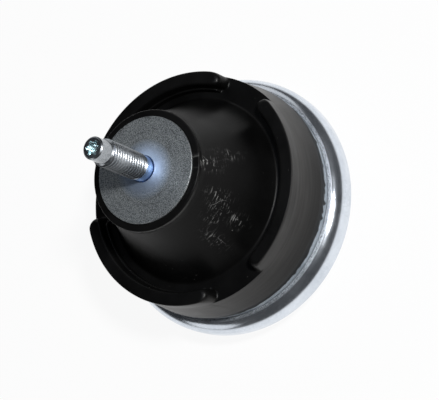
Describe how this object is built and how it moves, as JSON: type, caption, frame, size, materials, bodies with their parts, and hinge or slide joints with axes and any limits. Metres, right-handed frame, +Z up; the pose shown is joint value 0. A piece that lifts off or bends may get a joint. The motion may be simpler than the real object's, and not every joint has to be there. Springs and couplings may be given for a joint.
{
  "type": "engine mount",
  "caption": "Round fluid-filled engine mount: a rubber cone with stop arcs on its shoulder, bonded to a threaded stud's core and crimped into a plated steel cup.",
  "frame": {"origin": "centre of the cup's flat base", "axes": "+Z up the stud's axis; +X through the middle of one gap between the stop arcs"},
  "size_m": [0.103, 0.103, 0.108],
  "materials": {
    "rubber": "moulded matte black rubber",
    "inner_rubber": "smooth black rubber",
    "plated_steel": "bright zinc plate on pressed sheet",
    "ring_steel": "dull zinc plate",
    "core_steel": "grainy grey zinc plate",
    "stud_steel": "bright zinc plate on rolled thread",
    "cast_alloy": "die cast, as cast"
  },
  "bodies": {
    "root": {"base_cup": "plated_steel", "outer_ring": "ring_steel", "rubber_spring": "rubber", "core": "core_steel", "stud": "stud_steel", "track_body": "cast_alloy", "track_cover": "ring_steel", "decoupler": "inner_rubber", "diaphragm": "inner_rubber", "diaphragm_ring": "ring_steel"}
  },
  "joints": []
}
